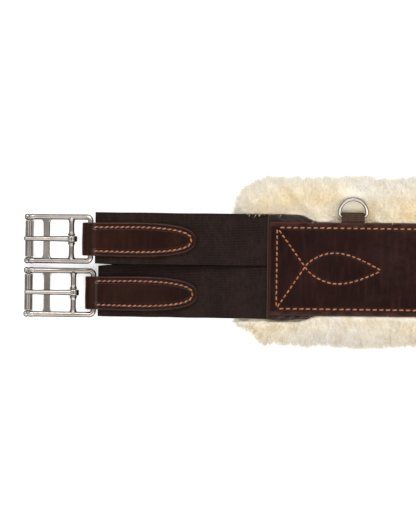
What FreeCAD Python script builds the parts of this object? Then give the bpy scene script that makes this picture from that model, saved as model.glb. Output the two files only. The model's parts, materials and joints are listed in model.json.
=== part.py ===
import FreeCAD, Part
import math
import os

# A short saddle girth, lying with its sheepskin side down and its leather side up.
# X runs along the girth, +Y is its front edge (the one with the dee rings), +Z is up.
# The origin is under the middle of the sheepskin, on the surface that the girth lies on.
# Millimetres and degrees throughout.

V = FreeCAD.Vector

# Padded panel, seen from above
PANEL_LENGTH = 344.0
PANEL_WIDTH = 66.5
PANEL_Y = -3.0                 # the leather lies a little behind the middle of the sheepskin
SHEEPSKIN_OVERHANG = 25.0      # sheepskin past each end of the leather
SHEEPSKIN_WIDTH = 122.0
SHEEPSKIN_CORNER = 20.0
HIDE_WIDTH = 94.0
HIDE_OVERHANG = 14.0

# Padded panel, heights of its layers
WOOL_UNDER = 12.0
HIDE_THICK = 1.0
FOAM_THICK = 5.0
BACKING_THICK = 1.0
ELASTIC_THICK = 2.0
REINFORCEMENT_THICK = 1.5
LEATHER_THICK = 2.5
WOOL_TOP = 27.0
WOOL_CHANNEL_GAP = 1.2         # wool to leather edge, each side
WOOL_END_FLOOR = 17.0          # wool pressed down under the elastics
WOOL_TOP_ROUND = 9.0
WOOL_FOOT_ROUND = 4.0

# Layer under the leather at each end
REINFORCEMENT_REACH = 40.0
REINFORCEMENT_LIP = 1.4
REINFORCEMENT_FULL = 22.0
REINFORCEMENT_TAPER_END = 36.0
CORE_WIDTH = 60.0
CORE_GAP = 0.5

# Elastic straps, two at each end; distances along a strap are from the end of the leather
STRAP_PITCH = 39.0
ELASTIC_WIDTH = 38.0
ELASTIC_INSIDE = 40.0
ELASTIC_SHORT_OF_BAR = 3.2
FLEX_PIVOT = 10.0
REAR_BAR_AXIS = 128.5
FRONT_BAR_AXIS = 129.4
FRONT_STRAP_SLOPE = 2.0
REAR_LOOP_LEAN = 8.0           # close to the rear strap's slope, for the height of its loop

# Chape: the leather tab folded round the buckle's end bar
CHAPE_WIDTH = 24.6
CHAPE_LEATHER = 2.8
CHAPE_SLIT = 2.1
CHAPE_PARALLEL = 42.0
CHAPE_TIP_R = 10.0
CHAPE_TIP_CENTRE = 65.2
LOOP_INNER_R = 2.4
LOOP_OFFSET = 0.9
LOOP_MERGE = 7.0
LOOP_OUTER_R = LOOP_INNER_R + CHAPE_LEATHER
TABLE_GAP = 0.05

# Buckle, measured from the axis of its end bar towards its roller
BUCKLE_WIDTH = 35.9
FRAME_R = 2.0
FRAME_CORNER_R = 2.9
TONGUE_BAR_X = 14.7
STRAP_BAR_X = 34.1
ROLLER_X = 47.6
BUCKLE_END_X = 51.1
RAIL_END_X = 43.4
BEAD_R = 2.25
GROOVE_R = 1.75
BEAD_ENDS = [43.4, 47.9]
BALL_FLAT_R = 1.2
LUG_R = 2.7
LUG_INNER_Y = 13.5
LUG_ROUND = 0.5
STRAP_BAR_WIDTH = 4.5
STRAP_BAR_FLARE = 1.6
STRAP_BAR_FLARE_BEND = 0.3     # share of the flare reached at its middle point
STRAP_BAR_FLARE_PLACE = 0.6    # where that point lies along the flare
STRAP_BAR_THICK = 2.4
STRAP_BAR_BEVEL = 0.7
TONGUE_BAR_R = 1.9
COLLAR_R = 2.65
COLLAR_WIDTH = 1.7
COLLAR_EDGE = 0.3
COLLAR_TAIL = 1.2              # collar fading into the bar
SHOULDER = 0.25
BAR_FLARE_R = 2.7
BAR_FLARE_LENGTH = 3.0
BAR_FLARE_SINK = 1.0           # narrowing inside the rail
RAIL_Y = BUCKLE_WIDTH / 2 - FRAME_R

# Roller and its axle
ROLLER_R = 2.95
ROLLER_LENGTH = 26.2
ROLLER_EDGE = 0.4
AXLE_R = 1.2
AXLE_LENGTH = 31.0
RUNNING_GAP = 0.08

# Tongue
TONGUE_WIDTH = 4.3
TONGUE_EYE_R = 4.1
TONGUE_EYE_ROUND = 1.0
TONGUE_SHAFT_INSET = 0.05
TONGUE_TIP_R = 1.65
TONGUE_ROOT_HEIGHT = 1.7
TONGUE_TIP_X = 48.4
TONGUE_SIDE_GAP = 0.3
TONGUE_REST_GAP = 0.3

# Dee rings on the front edge
DEE_X = PANEL_LENGTH / 2 - 60.0
DEE_WIRE_R = 1.15
DEE_WIDTH = 22.0
DEE_HEIGHT = 15.05
DEE_CORNER_R = 2.2
DEE_TILT = 20.0
DEE_BAR_OUT = 5.2              # past the edge of the leather
DEE_BAR_HEIGHT = 22.7
DEE_LOOP_WIDTH = 16.4
DEE_LOOP_THICK = 1.2
DEE_LOOP_GAP = 0.3
DEE_LOOP_TAIL_IN = 3.0         # sewn in under the leather
DEE_POCKET_FLOOR = 19.6
DEE_POCKET_REACH = 22.0
DEE_POCKET_WIDTH = 27.0

# Heights worked out from the layers, bottom to top
Z_HIDE = WOOL_UNDER
Z_FOAM = Z_HIDE + HIDE_THICK
Z_HIDE_TOP = Z_FOAM + FOAM_THICK + HIDE_THICK
Z_ELASTIC = Z_HIDE_TOP + BACKING_THICK
Z_REINFORCEMENT = Z_ELASTIC + ELASTIC_THICK
Z_LEATHER = Z_REINFORCEMENT + REINFORCEMENT_THICK
Z_TOP = Z_LEATHER + LEATHER_THICK
Z_STRAP = Z_ELASTIC + ELASTIC_THICK / 2

PANEL_END = PANEL_LENGTH / 2
PANEL_FRONT = PANEL_Y + PANEL_WIDTH / 2
STRAPS_WIDTH = STRAP_PITCH + ELASTIC_WIDTH
PAST = 10.0                    # how far a cutting shape runs past what it cuts


def block(x, y, z):
    """A box from three (low, high) pairs."""
    corner = V(x[0], y[0], z[0])
    return Part.makeBox(x[1] - x[0], y[1] - y[0], z[1] - z[0], corner)


def outline_face(edges):
    return Part.Face(Part.Wire(Part.__sortEdges__(edges)))


def polygon_face(points):
    return Part.Face(Part.makePolygon(points + points[:1]))


def arc(first, middle, last):
    return Part.Arc(first, middle, last).toShape()


def line(first, last):
    return Part.LineSegment(first, last).toShape()


def mirrored(shape):
    """The same piece at the other end of the girth."""
    return shape.mirror(V(0, 0, 0), V(1, 0, 0))


def centred(y, width):
    return (y - width / 2, y + width / 2)


# ---------------------------------------------------------------- padded panel

def outer_leather_panel():
    return block((-PANEL_END, PANEL_END), centred(PANEL_Y, PANEL_WIDTH), (Z_LEATHER, Z_TOP))


def backing_leather():
    return block((-PANEL_END, PANEL_END), centred(PANEL_Y, PANEL_WIDTH), (Z_HIDE_TOP, Z_ELASTIC))


def core_webbing():
    reach = PANEL_END - ELASTIC_INSIDE - CORE_GAP
    return block((-reach, reach), centred(PANEL_Y, CORE_WIDTH), (Z_ELASTIC, Z_LEATHER))


def end_reinforcement():
    """Leather layer over both elastics, narrowing to the width of the panel."""
    wide = STRAPS_WIDTH / 2
    narrow = PANEL_WIDTH / 2
    half = [
        (PANEL_END + REINFORCEMENT_LIP, wide),
        (PANEL_END - REINFORCEMENT_FULL, wide),
        (PANEL_END - REINFORCEMENT_TAPER_END, narrow),
        (PANEL_END - REINFORCEMENT_REACH, narrow),
    ]
    front = [V(x, PANEL_Y + y, Z_REINFORCEMENT) for x, y in half]
    rear = [V(x, PANEL_Y - y, Z_REINFORCEMENT) for x, y in reversed(half)]
    return polygon_face(front + rear).extrude(V(0, 0, REINFORCEMENT_THICK))


def sheepskin_hide():
    """The skin of the sheepskin, wrapped as a flat tube round the foam."""
    reach = PANEL_END + HIDE_OVERHANG
    outside = block((-reach, reach), centred(0, HIDE_WIDTH), (Z_HIDE, Z_HIDE_TOP))
    return outside.cut(foam_core())


def foam_core():
    reach = PANEL_END + HIDE_OVERHANG
    width = HIDE_WIDTH - 2 * HIDE_THICK
    return block((-reach, reach), centred(0, width), (Z_FOAM, Z_FOAM + FOAM_THICK))


def sheepskin_fleece():
    """The wool: under the panel, round its sides, and up beside the leather."""
    reach = PANEL_END + SHEEPSKIN_OVERHANG
    wool = block((-reach, reach), centred(0, SHEEPSKIN_WIDTH), (0, WOOL_TOP))
    corners = [e for e in wool.Edges if abs(e.tangentAt(e.FirstParameter).z) > 0.9]
    wool = wool.makeFillet(SHEEPSKIN_CORNER, corners)
    wool = wool.makeFillet(WOOL_TOP_ROUND, [e for e in wool.Edges if e.BoundBox.ZMin > WOOL_TOP - 1])
    wool = wool.makeFillet(WOOL_FOOT_ROUND, [e for e in wool.Edges if e.BoundBox.ZMax < 1])

    past_end = reach + PAST
    above = WOOL_TOP + PAST
    channel = PANEL_WIDTH + 2 * WOOL_CHANNEL_GAP
    end_channel = STRAPS_WIDTH + 2 * WOOL_CHANNEL_GAP
    end_start = PANEL_END - ELASTIC_INSIDE - WOOL_CHANNEL_GAP
    wool = wool.cut(block((-past_end, past_end), centred(PANEL_Y, channel), (Z_HIDE_TOP, above)))
    hide_end = PANEL_END + HIDE_OVERHANG
    wool = wool.cut(block((-hide_end, hide_end), centred(0, HIDE_WIDTH), (Z_HIDE, Z_HIDE_TOP)))
    wide = block((end_start, past_end), centred(PANEL_Y, end_channel), (Z_HIDE_TOP, above))
    low = block((hide_end, past_end), centred(PANEL_Y, end_channel), (WOOL_END_FLOOR, above))
    pocket_y = (PANEL_FRONT, PANEL_FRONT + DEE_POCKET_REACH)
    pocket = block(centred(DEE_X, DEE_POCKET_WIDTH), pocket_y, (DEE_POCKET_FLOOR, above))
    for hollow in (wide, low, pocket):
        wool = wool.cut(hollow).cut(mirrored(hollow))
    return wool


# ------------------------------------------------------------------- dee rings

def dee_bar_centre():
    """Middle of a dee ring's straight side, which turns in its webbing loop."""
    return V(DEE_X, PANEL_FRONT + DEE_BAR_OUT, DEE_BAR_HEIGHT)


def dee_ring():
    """A dee of round wire, made flat and then tilted up from the wool."""
    half = DEE_WIDTH / 2 - DEE_WIRE_R
    top = DEE_HEIGHT - 2 * DEE_WIRE_R
    shoulder = top - half
    corner = DEE_CORNER_R
    slant = corner * (1 - math.sqrt(0.5))
    path = [
        line(V(-half + corner, 0, 0), V(half - corner, 0, 0)),
        arc(V(half - corner, 0, 0), V(half - slant, slant, 0), V(half, corner, 0)),
        line(V(half, corner, 0), V(half, shoulder, 0)),
        arc(V(half, shoulder, 0), V(0, top, 0), V(-half, shoulder, 0)),
        line(V(-half, shoulder, 0), V(-half, corner, 0)),
        arc(V(-half, corner, 0), V(-half + slant, slant, 0), V(-half + corner, 0, 0)),
    ]
    section = Part.Wire(Part.makeCircle(DEE_WIRE_R, V(0, 0, 0), V(1, 0, 0)))
    ring = Part.Wire(path).makePipeShell([section], True, False)
    ring.rotate(V(0, 0, 0), V(1, 0, 0), DEE_TILT)
    ring.translate(dee_bar_centre())
    return ring


def dee_loop():
    """Webbing folded round the dee's straight side, its tails under the leather."""
    centre = dee_bar_centre()
    inner = DEE_WIRE_R + DEE_LOOP_GAP
    outer = inner + DEE_LOOP_THICK
    tail_top = Z_LEATHER
    tail_bottom = tail_top - 2 * DEE_LOOP_THICK
    tail_y = PANEL_FRONT - DEE_LOOP_TAIL_IN
    x = DEE_X - DEE_LOOP_WIDTH / 2
    across = V(1, 0, 0)
    around = Part.makeCylinder(outer, DEE_LOOP_WIDTH, V(x, centre.y, centre.z), across)
    tails = block((x, x + DEE_LOOP_WIDTH), (tail_y, centre.y), (tail_bottom, tail_top))
    eye = Part.makeCylinder(inner, DEE_LOOP_WIDTH, V(x, centre.y, centre.z), across)
    return around.fuse(tails).cut(eye).removeSplitter()


# ---------------------------------------------------------------------- straps

def strap_y(row):
    """Centre line of the front (row 1) or the rear (row -1) strap."""
    return PANEL_Y + row * STRAP_PITCH / 2


def strap_slope(row):
    """How far a strap slopes down: the rear one lets its chape down onto the surface."""
    if row > 0:
        return FRONT_STRAP_SLOPE
    loop_drop = LOOP_OUTER_R + LOOP_OFFSET * math.sin(math.radians(REAR_LOOP_LEAN))
    drop = Z_STRAP - loop_drop - TABLE_GAP
    return math.degrees(math.asin(drop / (REAR_BAR_AXIS - FLEX_PIVOT)))


def flex_pivot():
    return V(PANEL_END + FLEX_PIVOT, 0, Z_STRAP)


def along_strap(row, distance, height=0.0):
    """The point that lies this far from the end of the leather, on a strap's centre line."""
    slope = math.radians(strap_slope(row))
    out = distance - FLEX_PIVOT
    pivot = flex_pivot()
    x = pivot.x + out * math.cos(slope) + height * math.sin(slope)
    z = pivot.z - out * math.sin(slope) + height * math.cos(slope)
    return V(x, strap_y(row), z)


def bar_axis(row):
    return FRONT_BAR_AXIS if row > 0 else REAR_BAR_AXIS


def bar_centre(row):
    return along_strap(row, bar_axis(row))


def buckle_droop(row):
    """Angle of a buckle below level, with its roller on the surface."""
    fall = bar_centre(row).z - ROLLER_R - TABLE_GAP
    return math.degrees(math.asin(fall / ROLLER_X))


def elastic(row):
    """One elastic strap, straight under the leather and sloping beyond the pivot."""
    half = ELASTIC_THICK / 2
    root = PANEL_END - ELASTIC_INSIDE
    pivot = flex_pivot()
    lean = half * math.tan(math.radians(strap_slope(row) / 2))
    elastic_end = bar_axis(row) - ELASTIC_SHORT_OF_BAR
    end_low = along_strap(row, elastic_end, -half)
    end_high = along_strap(row, elastic_end, half)
    y = strap_y(row) - ELASTIC_WIDTH / 2
    side = [
        V(root, y, Z_STRAP - half),
        V(pivot.x - lean, y, Z_STRAP - half),
        V(end_low.x, y, end_low.z),
        V(end_high.x, y, end_high.z),
        V(pivot.x + lean, y, Z_STRAP + half),
        V(root, y, Z_STRAP + half),
    ]
    return polygon_face(side).extrude(V(0, ELASTIC_WIDTH, 0))


def hung_on_bar(shape, row, angle):
    """Moves a piece made about the end bar's axis to its place at rest."""
    shape.rotate(V(0, 0, 0), V(0, 1, 0), angle)
    shape.translate(bar_centre(row))
    return shape


def chape_side(radius, half_stack, merge, tail):
    """Side face of a loop round the end bar that runs back into a flat stack."""
    y = -CHAPE_WIDTH / 2
    high = V(LOOP_OFFSET, y, radius)
    low = V(LOOP_OFFSET, y, -radius)
    edges = [
        arc(high, V(LOOP_OFFSET + radius, y, 0), low),
        line(low, V(-merge, y, -half_stack)),
        line(V(-merge, y, -half_stack), V(-tail, y, -half_stack)),
        line(V(-tail, y, -half_stack), V(-tail, y, half_stack)),
        line(V(-tail, y, half_stack), V(-merge, y, half_stack)),
        line(V(-merge, y, half_stack), high),
    ]
    return outline_face(edges).extrude(V(0, CHAPE_WIDTH, 0))


def chape(row):
    """Leather folded round the end bar, its two tails over and under the elastic."""
    half_slit = CHAPE_SLIT / 2
    tip = CHAPE_TIP_CENTRE + CHAPE_TIP_R
    leather = chape_side(LOOP_OUTER_R, half_slit + CHAPE_LEATHER, LOOP_MERGE + CHAPE_LEATHER, tip)
    hollow = chape_side(LOOP_INNER_R, half_slit, LOOP_MERGE, tip + PAST)

    z = -LOOP_OUTER_R - PAST
    front = LOOP_OFFSET + LOOP_OUTER_R + PAST
    half = CHAPE_WIDTH / 2
    edges = [
        line(V(front, -half, z), V(front, half, z)),
        line(V(front, half, z), V(-CHAPE_PARALLEL, half, z)),
        line(V(-CHAPE_PARALLEL, half, z), V(-CHAPE_TIP_CENTRE, CHAPE_TIP_R, z)),
        arc(V(-CHAPE_TIP_CENTRE, CHAPE_TIP_R, z), V(-tip, 0, z), V(-CHAPE_TIP_CENTRE, -CHAPE_TIP_R, z)),
        line(V(-CHAPE_TIP_CENTRE, -CHAPE_TIP_R, z), V(-CHAPE_PARALLEL, -half, z)),
        line(V(-CHAPE_PARALLEL, -half, z), V(front, -half, z)),
    ]
    pattern = outline_face(edges).extrude(V(0, 0, -2 * z))
    return hung_on_bar(leather.cut(hollow).common(pattern), row, strap_slope(row))


# --------------------------------------------------------------------- buckles

def cross_bar(x, radius, half_length):
    return Part.makeCylinder(radius, 2 * half_length, V(x, -half_length, 0), V(0, 1, 0))


def turned(points, centre, axis):
    """A solid of revolution from its half outline."""
    return polygon_face(points).revolve(centre, axis, 360)


def rounded_bar():
    """End bar, two corners and two rails, all of one round section."""
    corner = FRAME_CORNER_R
    start = V(0, RAIL_Y - corner, 0)
    mid = corner * (1 - math.sqrt(0.5))
    path = [
        line(V(RAIL_END_X, RAIL_Y, 0), V(corner, RAIL_Y, 0)),
        arc(V(corner, RAIL_Y, 0), V(mid, RAIL_Y - mid, 0), start),
        line(start, V(0, -start.y, 0)),
        arc(V(0, -start.y, 0), V(mid, -RAIL_Y + mid, 0), V(corner, -RAIL_Y, 0)),
        line(V(corner, -RAIL_Y, 0), V(RAIL_END_X, -RAIL_Y, 0)),
    ]
    section = Part.Wire(Part.makeCircle(FRAME_R, V(RAIL_END_X, RAIL_Y, 0), V(1, 0, 0)))
    return Part.Wire(path).makePipeShell([section], True, False)


def beaded_end(side):
    """The turned beads at a rail's outer end."""
    y = side * RAIL_Y
    edges = []
    for x, next_x in zip(BEAD_ENDS, BEAD_ENDS[1:]):
        top = V((x + next_x) / 2, y, BEAD_R)
        edges.append(arc(V(x, y, GROOVE_R), top, V(next_x, y, GROOVE_R)))
    last = BEAD_ENDS[-1]
    ball_x = (last + BUCKLE_END_X) / 2
    edges.append(arc(V(last, y, GROOVE_R), V(ball_x, y, BEAD_R), V(BUCKLE_END_X, y, BALL_FLAT_R)))
    inner = RAIL_END_X - 1
    edges.append(line(V(BUCKLE_END_X, y, BALL_FLAT_R), V(BUCKLE_END_X, y, 0)))
    edges.append(line(V(BUCKLE_END_X, y, 0), V(inner, y, 0)))
    edges.append(line(V(inner, y, 0), V(inner, y, GROOVE_R)))
    edges.append(line(V(inner, y, GROOVE_R), V(BEAD_ENDS[0], y, GROOVE_R)))
    return outline_face(edges).revolve(V(0, y, 0), V(1, 0, 0), 360)


def lug(side):
    """The boss that takes one end of the roller's axle; it ends inside the rail's beads."""
    y = LUG_INNER_Y
    half = [
        (0, y),
        (LUG_R - LUG_ROUND, y),
        (LUG_R, y + LUG_ROUND),
        (LUG_R, y + 3 * LUG_ROUND),
        (GROOVE_R, RAIL_Y),
        (0, RAIL_Y),
    ]
    outline = [V(ROLLER_X + r, side * y, 0) for r, y in half]
    return turned(outline, V(ROLLER_X, 0, 0), V(0, side, 0))


def strap_bar():
    """The flat bar that carries the girth strap, flared where it meets the rails."""
    half = STRAP_BAR_WIDTH / 2
    wide = half + STRAP_BAR_FLARE
    inside = BUCKLE_WIDTH / 2 - 2 * FRAME_R
    bend = inside - BAR_FLARE_LENGTH
    z = -STRAP_BAR_THICK / 2

    def at(dx, y):
        return V(STRAP_BAR_X + dx, y, z)

    edges = []
    for side in (1, -1):
        edges.append(line(at(side * half, -bend), at(side * half, bend)))
        for end in (1, -1):
            bent = bend + BAR_FLARE_LENGTH * STRAP_BAR_FLARE_PLACE
            middle = at(side * (half + STRAP_BAR_FLARE * STRAP_BAR_FLARE_BEND), end * bent)
            edges.append(arc(at(side * half, end * bend), middle, at(side * wide, end * inside)))
            edges.append(line(at(side * wide, end * inside), at(side * wide, end * RAIL_Y)))
    edges.append(line(at(-wide, RAIL_Y), at(wide, RAIL_Y)))
    edges.append(line(at(-wide, -RAIL_Y), at(wide, -RAIL_Y)))
    bar = outline_face(edges).extrude(V(0, 0, STRAP_BAR_THICK))
    long_enough = BAR_FLARE_LENGTH / 2
    flat = [e for e in bar.Edges if e.BoundBox.ZLength < TABLE_GAP and e.BoundBox.YLength > long_enough]
    return bar.makeFillet(STRAP_BAR_BEVEL, flat)


def tongue_bar():
    """Round bar with a journal for the tongue between two collars."""
    journal = TONGUE_WIDTH / 2 + TONGUE_SIDE_GAP
    collar_end = journal + COLLAR_WIDTH
    inside = BUCKLE_WIDTH / 2 - 2 * FRAME_R
    half = [
        (journal, TONGUE_BAR_R),
        (journal, COLLAR_R - COLLAR_EDGE),
        (journal + COLLAR_EDGE, COLLAR_R),
        (journal + COLLAR_WIDTH / 2, COLLAR_R),
        (collar_end, TONGUE_BAR_R + SHOULDER),
        (collar_end + COLLAR_TAIL, TONGUE_BAR_R),
        (inside - BAR_FLARE_LENGTH, TONGUE_BAR_R),
        (inside - BAR_FLARE_LENGTH / 3, TONGUE_BAR_R + SHOULDER),
        (inside, BAR_FLARE_R),
        (RAIL_Y, BAR_FLARE_R - BAR_FLARE_SINK),
    ]
    outline = [V(TONGUE_BAR_X, -RAIL_Y, 0)]
    outline += [V(TONGUE_BAR_X + r, -y, 0) for y, r in reversed(half)]
    outline += [V(TONGUE_BAR_X + r, y, 0) for y, r in half]
    outline += [V(TONGUE_BAR_X, RAIL_Y, 0)]
    return turned(outline, V(TONGUE_BAR_X, 0, 0), V(0, 1, 0))


def buckle_frame(row):
    frame = rounded_bar()
    pieces = [strap_bar(), tongue_bar()]
    for side in (1, -1):
        pieces.append(beaded_end(side))
        pieces.append(lug(side))
    frame = frame.fuse(pieces).cut(cross_bar(ROLLER_X, AXLE_R, AXLE_LENGTH / 2)).removeSplitter()
    return hung_on_bar(frame, row, buckle_droop(row))


def roller_axle(row):
    return hung_on_bar(cross_bar(ROLLER_X, AXLE_R, AXLE_LENGTH / 2), row, buckle_droop(row))


def roller(row):
    tube = cross_bar(ROLLER_X, ROLLER_R, ROLLER_LENGTH / 2)
    tube = tube.makeFillet(ROLLER_EDGE, [e for e in tube.Edges if e.Closed and e.Length > ROLLER_R])
    bore = cross_bar(ROLLER_X, AXLE_R + RUNNING_GAP, ROLLER_LENGTH)
    return hung_on_bar(tube.cut(bore), row, buckle_droop(row))


def tongue(row):
    """Tapered tongue with an eye round the tongue bar, its tip lying on the roller."""
    eye = cross_bar(TONGUE_BAR_X, TONGUE_EYE_R, TONGUE_WIDTH / 2)
    eye = eye.makeFillet(TONGUE_EYE_ROUND, [e for e in eye.Edges if e.Closed and e.Length > TONGUE_EYE_R])
    root = V(TONGUE_BAR_X, 0, TONGUE_ROOT_HEIGHT)
    over_roller = ROLLER_R + TONGUE_TIP_R + TONGUE_REST_GAP
    rise = (over_roller - TONGUE_ROOT_HEIGHT) / (ROLLER_X - TONGUE_BAR_X)
    tip = V(TONGUE_TIP_X, 0, TONGUE_ROOT_HEIGHT + rise * (TONGUE_TIP_X - TONGUE_BAR_X))
    root_r = TONGUE_WIDTH / 2 - TONGUE_SHAFT_INSET
    shaft = Part.makeCone(root_r, TONGUE_TIP_R, (tip - root).Length, root, tip - root)
    point = Part.makeSphere(TONGUE_TIP_R, tip)
    hole = cross_bar(TONGUE_BAR_X, TONGUE_BAR_R + RUNNING_GAP, TONGUE_WIDTH)
    body = eye.fuse([shaft, point]).cut(hole)
    return hung_on_bar(max(body.Solids, key=lambda s: s.Volume), row, buckle_droop(row))


# ---------------------------------------------------------------------- export

def all_pieces():
    """Every piece by name; the left end is the right end mirrored."""
    pieces = {
        "outer_leather_panel": outer_leather_panel(),
        "backing_leather": backing_leather(),
        "core_webbing": core_webbing(),
        "foam_core": foam_core(),
        "sheepskin_hide": sheepskin_hide(),
        "sheepskin_fleece": sheepskin_fleece(),
    }
    one_end = {
        "end_reinforcement": end_reinforcement(),
        "dee_ring": dee_ring(),
        "dee_loop": dee_loop(),
    }
    makers = [elastic, chape, buckle_frame, roller_axle, roller, tongue]
    for row, place in ((1, "front"), (-1, "rear")):
        for maker in makers:
            one_end[f"{place}_{maker.__name__}"] = maker(row)
    for name, shape in one_end.items():
        pieces["right_" + name] = shape
        pieces["left_" + name] = mirrored(shape)
    return pieces


def main():
    os.makedirs("parts", exist_ok=True)
    for name, shape in all_pieces().items():
        shape.exportStep(f"parts/{name}.step")


main()
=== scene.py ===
import json
import math
import bmesh
import bpy
import numpy as np
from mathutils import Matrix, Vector
from mathutils.kdtree import KDTree


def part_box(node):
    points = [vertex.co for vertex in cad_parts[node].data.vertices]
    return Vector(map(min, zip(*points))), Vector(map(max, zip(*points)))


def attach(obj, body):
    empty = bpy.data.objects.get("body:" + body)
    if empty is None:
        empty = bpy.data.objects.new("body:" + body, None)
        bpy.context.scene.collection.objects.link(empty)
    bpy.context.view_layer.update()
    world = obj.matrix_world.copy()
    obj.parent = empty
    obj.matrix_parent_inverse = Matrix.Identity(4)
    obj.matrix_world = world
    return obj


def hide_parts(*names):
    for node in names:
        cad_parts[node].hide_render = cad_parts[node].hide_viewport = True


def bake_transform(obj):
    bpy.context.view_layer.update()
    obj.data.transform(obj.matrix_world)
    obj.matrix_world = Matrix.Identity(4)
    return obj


# The looks of a saddle girth: leather, stitching, elastic webbing, sheepskin wool and polished steel,
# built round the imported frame. Shapes are worked out in millimetres and become metres in finished_mesh().

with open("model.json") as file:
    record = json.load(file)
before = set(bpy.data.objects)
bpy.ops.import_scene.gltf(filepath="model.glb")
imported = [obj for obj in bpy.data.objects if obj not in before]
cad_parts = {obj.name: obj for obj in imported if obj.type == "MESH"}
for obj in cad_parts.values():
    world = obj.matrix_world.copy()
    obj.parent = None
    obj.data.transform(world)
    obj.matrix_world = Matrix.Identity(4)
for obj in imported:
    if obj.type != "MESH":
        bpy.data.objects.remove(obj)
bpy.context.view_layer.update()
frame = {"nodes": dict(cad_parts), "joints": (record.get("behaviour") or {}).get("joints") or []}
MM = 0.001
RNG = np.random.default_rng(7)

NODES = frame["nodes"]
JOINTS = {joint["name"]: joint for joint in frame["joints"]}
ENDS = {"left": -1, "right": 1}
ROWS = ("front", "rear")


def node_box(name):
    """A CAD node's corners in millimetres."""
    low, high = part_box(name)
    return np.array(low) / MM, np.array(high) / MM


def joint_point(name):
    return np.array(JOINTS[name]["pos_m"]) / MM


LEATHER_LOW, LEATHER_HIGH = node_box("outer_leather_panel")
DEE_BARS = {end: joint_point(end + "_dee_ring_swing") for end in ENDS}
PANEL_SPREAD = 0.4  # how far each long edge reaches past the plain solid
PANEL_END = LEATHER_HIGH[0]
PANEL_Y = (LEATHER_LOW[1] + LEATHER_HIGH[1]) / 2
PANEL_HALF = (LEATHER_HIGH[1] - LEATHER_LOW[1]) / 2 + PANEL_SPREAD
PANEL_FRONT = PANEL_Y + PANEL_HALF
PANEL_REAR = PANEL_Y - PANEL_HALF

# Sewing, measured from the edges of the panel
SEAM_FRONT = 4.1
SEAM_REAR = 4.8
SEAM_END = 5.3
SEAM_PITCH = 4.8
SEAM_STITCH = 3.6
FISH_PITCH = 4.0
FISH_STITCH = 3.1
FISH_CROSSING = 25.6
FISH_NOSE = 80.8
FISH_HALF_WIDTH = 11.0
FISH_RISE = (1.4, -0.7)  # how far its crossing and its nose sit towards the front
FISH_FULLNESS = 0.78  # below 1, so that it is widest nearer the crossing
THREAD_WIDTH = 1.1
THREAD_HEIGHT = 0.6


# ---- mesh tools

class Mesh:
    """Vertices and faces of one piece, gathered from grids, in millimetres."""

    def __init__(self):
        self.points = []
        self.faces = []
        self.values = []
        self.count = 0

    def grid(self, points, wrap=False, value=None):
        """A sheet of quads from an array of rows; wrap joins the last column to the first."""
        rows, columns = points.shape[:2]
        index = np.arange(rows * columns).reshape(rows, columns) + self.count
        if wrap:
            index = np.hstack([index, index[:, :1]])
        quads = np.stack([index[:-1, :-1], index[1:, :-1], index[1:, 1:], index[:-1, 1:]], axis=-1)
        self.add(points.reshape(-1, 3), quads.reshape(-1, 4), value)

    def add(self, points, faces, value=None):
        self.points.append(points)
        self.faces.append(faces)
        flat = np.zeros(len(points)) if value is None else np.asarray(value, float).reshape(-1)
        self.values.append(flat)
        self.count += len(points)


def placed(name, data):
    """A new object in the scene."""
    made = bpy.data.objects.new(name, data)
    bpy.context.scene.collection.objects.link(made)
    return made


def finished_mesh(name, shape, material, sharp=40.0, weld=True):
    """Makes the Blender object of a Mesh, in metres, with its normals facing out."""
    data = bpy.data.meshes.new(name)
    data.from_pydata((np.vstack(shape.points) * MM).tolist(), [], np.vstack(shape.faces).tolist())
    layer = data.attributes.new("tone", "FLOAT", "POINT")
    layer.data.foreach_set("value", np.concatenate(shape.values).astype(np.float32))
    data.update(calc_edges=True)
    data.validate()
    if weld:
        edit = bmesh.new()
        edit.from_mesh(data)
        bmesh.ops.remove_doubles(edit, verts=edit.verts, dist=1e-6)
        bmesh.ops.dissolve_degenerate(edit, edges=edit.edges, dist=1e-7)
        bmesh.ops.recalc_face_normals(edit, faces=edit.faces)
        edit.to_mesh(data)
        edit.free()
    data.shade_smooth()
    data.set_sharp_from_angle(angle=math.radians(sharp))
    data.materials.append(material)
    piece = placed(name, data)
    return piece


def smooth_step(t):
    t = np.clip(t, 0.0, 1.0)
    return t * t * (3 - 2 * t)


def waves(x, y, size, seed):
    """Soft uneven relief between about -1 and 1, from a few crossed sine waves."""
    pick = np.random.default_rng(seed)
    total = np.zeros(np.broadcast(x, y).shape)
    for _ in range(9):
        angle = pick.uniform(0, math.pi)
        step = 2 * math.pi / (size * pick.uniform(0.6, 1.7))
        total = total + np.sin((x * math.cos(angle) + y * math.sin(angle)) * step + pick.uniform(0, 6.3))
    return total / 3.4


def edge_roll(distance, radius):
    """How far a rounded edge lies below the surface, this far in from the rim."""
    inside = np.clip(distance, 0, radius)
    return radius - np.sqrt(np.maximum(radius**2 - (radius - inside) ** 2, 0))


def spaced(first, last, pitch):
    """Evenly spaced values at about this pitch, both ends included."""
    return np.linspace(first, last, max(2, int(round(abs(last - first) / pitch)) + 1))


def edged(first, last, pitch, rim):
    """Spaced values with closer ones just inside both ends."""
    steps = np.array([0.0, 0.06, 0.2, 0.42, 0.7, 1.0]) * rim
    return np.concatenate([first + steps, spaced(first + rim, last - rim, pitch)[1:-1], last - steps[::-1]])


def unit(vectors):
    """The same directions at length one."""
    return vectors / np.maximum(np.linalg.norm(vectors, axis=-1, keepdims=True), 1e-9)


def square_to(path):
    """Unit vectors square to a flat path, on its left."""
    ahead = unit(np.gradient(path, axis=0))
    return np.stack([-ahead[:, 1], ahead[:, 0]], axis=1)


def run_length(path):
    """Distance run along a path at each of its points."""
    steps = np.linalg.norm(np.diff(path, axis=0), axis=1)
    return np.concatenate([[0], np.cumsum(steps)])


def along_path(path, at):
    """The points of a flat path at these distances along it."""
    run = run_length(path)
    return np.stack([np.interp(at, run, path[:, k]) for k in range(2)], axis=1)


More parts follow.
